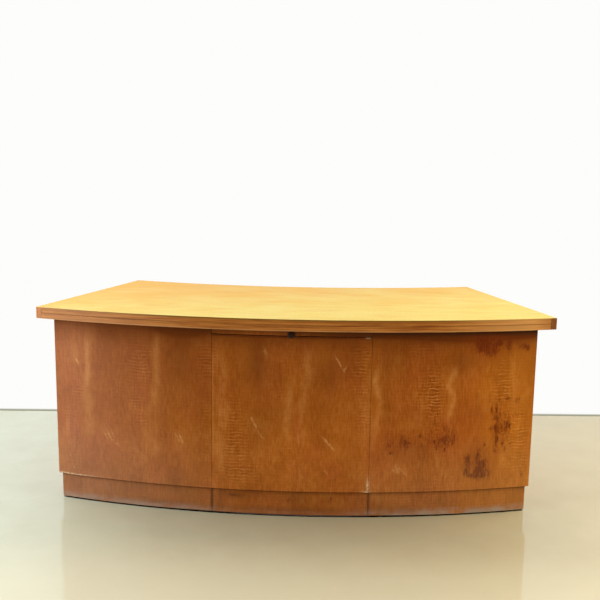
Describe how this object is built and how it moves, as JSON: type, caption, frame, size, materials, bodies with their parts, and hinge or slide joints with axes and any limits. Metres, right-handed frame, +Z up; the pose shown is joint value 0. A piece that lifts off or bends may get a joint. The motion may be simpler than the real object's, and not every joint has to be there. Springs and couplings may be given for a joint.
{
  "type": "captains desk",
  "caption": "Bow-fronted pedestal desk with a crescent top, a pull-out slide on the curved visitor side, and drawers and a hinged cupboard on the user side.",
  "frame": {"origin": "on the floor, under the middle of the top's bounding box", "axes": "+Z up, +X along the desk's length, the bowed visitor side faces -Y and the user sits on the +Y side"},
  "size_m": [1.934, 0.872, 0.75],
  "materials": {
    "top_veneer": "satin lacquered golden veneer",
    "body_veneer": "satin lacquered red-brown figured veneer",
    "inner_wood": "plain sanded wood",
    "knob": "black, half gloss",
    "hinge_metal": "dull brass",
    "screw_steel": "plain steel",
    "glide_plastic": "black, matt"
  },
  "bodies": {
    "desk": {"centre_cleats": "inner_wood", "centre_front_panel": "body_veneer", "centre_plinth": "body_veneer", "cupboard_shelf": "body_veneer", "drawer_guides": "inner_wood", "glides": "glide_plastic", "hinge_fixed_leaves": "hinge_metal", "hinge_pins": "hinge_metal", "left_floor": "body_veneer", "left_front_panel": "body_veneer", "left_inner_side": "body_veneer", "left_lower_bearer": "inner_wood", "left_outer_side": "body_veneer", "left_plinth_front": "body_veneer", "left_plinth_inner": "body_veneer", "left_plinth_outer": "body_veneer", "left_plinth_rear": "body_veneer", "left_subtop": "body_veneer", "left_upper_bearer": "inner_wood", "right_floor": "body_veneer", "right_front_panel": "body_veneer", "right_inner_side": "body_veneer", "right_outer_side": "body_veneer", "right_plinth_front": "body_veneer", "right_plinth_inner": "body_veneer", "right_plinth_outer": "body_veneer", "right_plinth_rear": "body_veneer", "right_subtop": "body_veneer", "shelf_cleats": "inner_wood", "slide_runners": "inner_wood", "top_left_end_lipping": "top_veneer", "top_lower_board": "top_veneer", "top_right_end_lipping": "top_veneer", "top_screws": "screw_steel", "top_upper_board": "top_veneer"},
    "slide": {"slide_board": "body_veneer", "slide_knob": "knob", "slide_lip": "body_veneer", "slide_stop": "inner_wood"},
    "upper_drawer": {"upper_drawer_back": "inner_wood", "upper_drawer_bottom": "inner_wood", "upper_drawer_front": "body_veneer", "upper_drawer_inner_side": "inner_wood", "upper_drawer_knob": "knob", "upper_drawer_outer_side": "inner_wood"},
    "middle_drawer": {"middle_drawer_back": "inner_wood", "middle_drawer_bottom": "inner_wood", "middle_drawer_front": "body_veneer", "middle_drawer_inner_side": "inner_wood", "middle_drawer_knob": "knob", "middle_drawer_outer_side": "inner_wood"},
    "lower_drawer": {"lower_drawer_back": "inner_wood", "lower_drawer_bottom": "inner_wood", "lower_drawer_front": "body_veneer", "lower_drawer_inner_side": "inner_wood", "lower_drawer_knob": "knob", "lower_drawer_outer_side": "inner_wood"},
    "door": {"door_panel": "body_veneer", "door_knob": "knob", "hinge_moving_leaves": "hinge_metal"}
  },
  "joints": [
    {"name": "slide_pull", "type": "slide", "parent": "desk", "child": "slide", "axis": [0, -1, 0], "range_m": [0, 0.3]},
    {"name": "upper_drawer_pull", "type": "slide", "parent": "desk", "child": "upper_drawer", "axis": [0, 1, 0], "range_m": [0, 0.42]},
    {"name": "middle_drawer_pull", "type": "slide", "parent": "desk", "child": "middle_drawer", "axis": [0, 1, 0], "range_m": [0, 0.42]},
    {"name": "lower_drawer_pull", "type": "slide", "parent": "desk", "child": "lower_drawer", "axis": [0, 1, 0], "range_m": [0, 0.42]},
    {"name": "door_swing", "type": "hinge", "parent": "desk", "child": "door", "pos_m": [0.67283, 0.3892, 0.4035], "axis": [0, 0, -1], "range_deg": [0, 105]}
  ]
}
